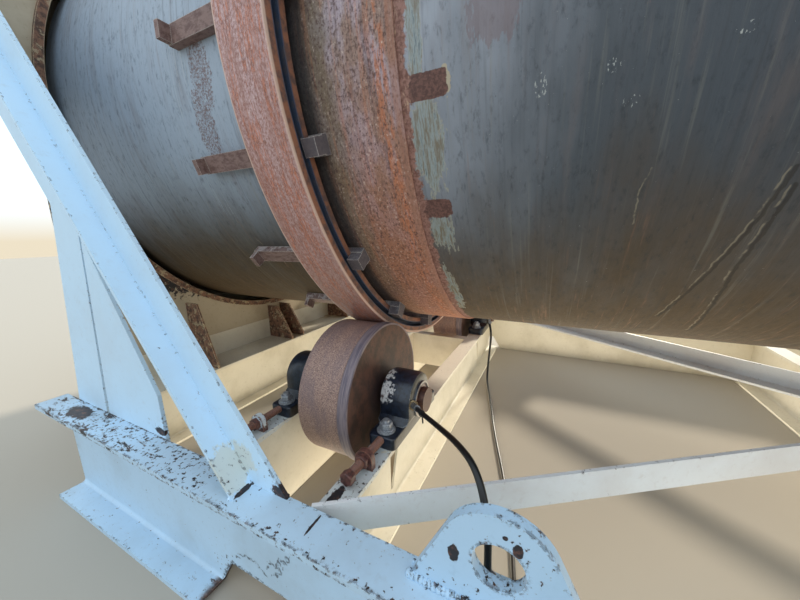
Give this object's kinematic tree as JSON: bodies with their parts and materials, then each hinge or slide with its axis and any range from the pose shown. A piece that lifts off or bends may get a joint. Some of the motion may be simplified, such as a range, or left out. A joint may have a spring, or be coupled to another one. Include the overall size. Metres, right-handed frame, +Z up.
{
  "type": "rotary drum mixer unit of an asphalt plant on its skid frame",
  "caption": "Long steel drum on riding rings and trunnion rollers, carried by a braced channel frame, with both drum ends inside breeching housings.",
  "frame": {"origin": "on the ground under the middle of the drum", "axes": "+X along the drum, to the right seen from the front; +Y from front to rear; +Z up"},
  "size_m": [8.494, 2.35, 2.44],
  "materials": {
    "frame_paint": "worn pale blue-white enamel, chipped along its edges",
    "breeching_paint": "dirty cream paint with rust",
    "shell_steel": "heat-darkened blue-grey paint",
    "band_steel": "rust brown rolled plate",
    "ring_steel": "rusted tread with running marks",
    "rusty_steel": "dull brown rust",
    "roller_steel": "worn brown tread",
    "bright_shaft": "machined steel with surface rust",
    "hose_rubber": "matt black grease hose",
    "block_casting": "oily dark casting with chipped paint"
  },
  "bodies": {
    "frame": {"front_main_beam": "frame_paint", "rear_main_beam": "frame_paint", "bearing_spacers": "frame_paint", "plan_braces": "frame_paint", "lifting_lugs": "frame_paint", "left_end_crossmember": "frame_paint", "left_outer_bearing_crossmember": "frame_paint", "left_inner_bearing_crossmember": "frame_paint", "left_middle_crossmember": "frame_paint", "left_breeching_struts": "frame_paint", "left_gusset_posts": "frame_paint", "left_breeching_front": "breeching_paint", "left_breeching_casing": "breeching_paint", "left_breeching_back": "breeching_paint", "left_drum_seal_ring": "rusty_steel", "left_pillow_blocks": "block_casting", "left_jacking_screws": "rusty_steel", "right_end_crossmember": "frame_paint", "right_outer_bearing_crossmember": "frame_paint", "right_inner_bearing_crossmember": "frame_paint", "right_middle_crossmember": "frame_paint", "right_breeching_struts": "frame_paint", "right_gusset_posts": "frame_paint", "right_breeching_front": "breeching_paint", "right_breeching_casing": "breeching_paint", "right_breeching_back": "breeching_paint", "right_drum_seal_ring": "rusty_steel", "right_pillow_blocks": "block_casting", "right_jacking_screws": "rusty_steel", "breeching_gussets": "rusty_steel", "breeching_sills": "breeching_paint", "front_grease_hose": "hose_rubber", "rear_grease_hose": "hose_rubber"},
    "drum": {"drum_shell": "shell_steel", "left_riding_ring": "ring_steel", "left_ring_lug_bars": "rusty_steel", "left_wrapper_band": "band_steel", "right_riding_ring": "ring_steel", "right_ring_lug_bars": "rusty_steel", "right_wrapper_band": "band_steel"},
    "left_front_roller_body": {"left_front_roller": "roller_steel", "left_front_roller_shaft": "bright_shaft"},
    "left_rear_roller_body": {"left_rear_roller": "roller_steel", "left_rear_roller_shaft": "bright_shaft"},
    "right_front_roller_body": {"right_front_roller": "roller_steel", "right_front_roller_shaft": "bright_shaft"},
    "right_rear_roller_body": {"right_rear_roller": "roller_steel", "right_rear_roller_shaft": "bright_shaft"}
  },
  "joints": [
    {"name": "drum_spin", "type": "hinge", "parent": "frame", "child": "drum", "pos_m": [0, 0, 1.45103], "axis": [1, 0, 0], "continuous": true},
    {"name": "left_front_roller_spin", "type": "hinge", "parent": "frame", "child": "left_front_roller_body", "pos_m": [-2.506, -0.60263, 0.3945], "axis": [1, 0, 0], "continuous": true},
    {"name": "left_rear_roller_spin", "type": "hinge", "parent": "frame", "child": "left_rear_roller_body", "pos_m": [-2.506, 0.60263, 0.3945], "axis": [1, 0, 0], "continuous": true},
    {"name": "right_front_roller_spin", "type": "hinge", "parent": "frame", "child": "right_front_roller_body", "pos_m": [2.506, -0.60263, 0.3945], "axis": [1, 0, 0], "continuous": true},
    {"name": "right_rear_roller_spin", "type": "hinge", "parent": "frame", "child": "right_rear_roller_body", "pos_m": [2.506, 0.60263, 0.3945], "axis": [1, 0, 0], "continuous": true}
  ],
  "couplings": [
    {"joint": "left_front_roller_spin", "follows": "drum_spin", "ratio": -4.1526},
    {"joint": "left_rear_roller_spin", "follows": "drum_spin", "ratio": -4.1526},
    {"joint": "right_front_roller_spin", "follows": "drum_spin", "ratio": -4.1526},
    {"joint": "right_rear_roller_spin", "follows": "drum_spin", "ratio": -4.1526}
  ]
}
